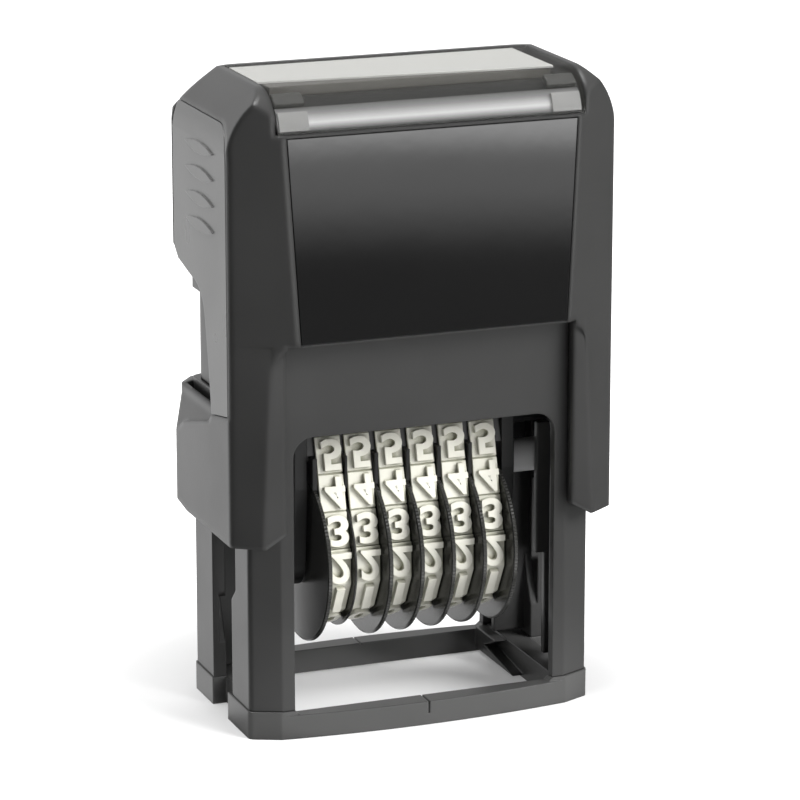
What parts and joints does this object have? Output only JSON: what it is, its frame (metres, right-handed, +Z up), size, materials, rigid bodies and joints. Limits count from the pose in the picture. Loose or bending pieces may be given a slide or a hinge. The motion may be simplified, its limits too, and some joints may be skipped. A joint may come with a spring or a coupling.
{
  "type": "numbering stamp",
  "caption": "Self-inking numbering stamp: press-down cap, base with ink pad, and a turning carriage of number bands set by thumbwheels.",
  "frame": {"origin": "under the foot, midway between its sides and between its front and back", "axes": "+Z up, front window towards -Y, +X to the right when seen from the front"},
  "size_m": [0.0486, 0.0281, 0.078],
  "materials": {
    "body_plastic": "satin",
    "cap_plastic": "satin",
    "grip_plastic": "satin",
    "gloss_panel": "gloss",
    "clear_window": "clear",
    "card": "matt",
    "pad_plastic": "satin",
    "felt": "matt",
    "carriage_plastic": "satin",
    "pin_plastic": "satin",
    "wheel_plastic": "satin",
    "band_rubber": "satin",
    "axle_steel": "satin",
    "spring_steel": "satin"
  },
  "bodies": {
    "base": {"base_frame": "body_plastic", "foot_ring": "body_plastic", "return_spring": "spring_steel"},
    "pad": {"pad_case": "pad_plastic", "ink_pad": "felt"},
    "cap": {"cap_shell": "cap_plastic", "front_panel": "gloss_panel", "side_panel_left": "grip_plastic", "side_panel_right": "grip_plastic", "index_card": "card"},
    "window": {"index_window": "clear_window"},
    "carriage": {"anvil": "carriage_plastic", "cheek_left": "carriage_plastic", "cheek_right": "carriage_plastic", "pivot_pin_left": "pin_plastic", "pivot_pin_right": "pin_plastic", "wheel_axle": "axle_steel", "band_1": "band_rubber", "band_2": "band_rubber", "band_3": "band_rubber", "band_4": "band_rubber", "band_5": "band_rubber", "band_6": "band_rubber"},
    "wheel_1_body": {"wheel_1": "wheel_plastic"},
    "wheel_2_body": {"wheel_2": "wheel_plastic"},
    "wheel_3_body": {"wheel_3": "wheel_plastic"},
    "wheel_4_body": {"wheel_4": "wheel_plastic"},
    "wheel_5_body": {"wheel_5": "wheel_plastic"},
    "wheel_6_body": {"wheel_6": "wheel_plastic"}
  },
  "joints": [
    {"name": "cap_press", "type": "slide", "parent": "base", "child": "cap", "axis": [0, 0, -1], "range_m": [0, 0.0186], "stiffness_N_per_m": 600, "springref_m": -0.01, "deforming": ["return_spring"]},
    {"name": "carriage_turn", "type": "hinge", "parent": "cap", "child": "carriage", "pos_m": [0, 0, 0.0283], "axis": [1, 0, 0], "range_deg": [-180, 0]},
    {"name": "pad_pull", "type": "slide", "parent": "base", "child": "pad", "axis": [0, 1, 0], "range_m": [0, 0.03]},
    {"name": "window_lift", "type": "slide", "parent": "cap", "child": "window", "axis": [0, 0, 1], "range_m": [0, 0.03]},
    {"name": "wheel_1_turn", "type": "hinge", "parent": "carriage", "child": "wheel_1_body", "pos_m": [0, 0, 0.019], "axis": [1, 0, 0], "continuous": true},
    {"name": "wheel_2_turn", "type": "hinge", "parent": "carriage", "child": "wheel_2_body", "pos_m": [0, 0, 0.019], "axis": [1, 0, 0], "continuous": true},
    {"name": "wheel_3_turn", "type": "hinge", "parent": "carriage", "child": "wheel_3_body", "pos_m": [0, 0, 0.019], "axis": [1, 0, 0], "continuous": true},
    {"name": "wheel_4_turn", "type": "hinge", "parent": "carriage", "child": "wheel_4_body", "pos_m": [0, 0, 0.019], "axis": [1, 0, 0], "continuous": true},
    {"name": "wheel_5_turn", "type": "hinge", "parent": "carriage", "child": "wheel_5_body", "pos_m": [0, 0, 0.019], "axis": [1, 0, 0], "continuous": true},
    {"name": "wheel_6_turn", "type": "hinge", "parent": "carriage", "child": "wheel_6_body", "pos_m": [0, 0, 0.019], "axis": [1, 0, 0], "continuous": true}
  ],
  "couplings": [
    {"joint": "carriage_turn", "follows": "cap_press", "rad_per_m": -168.9}
  ]
}
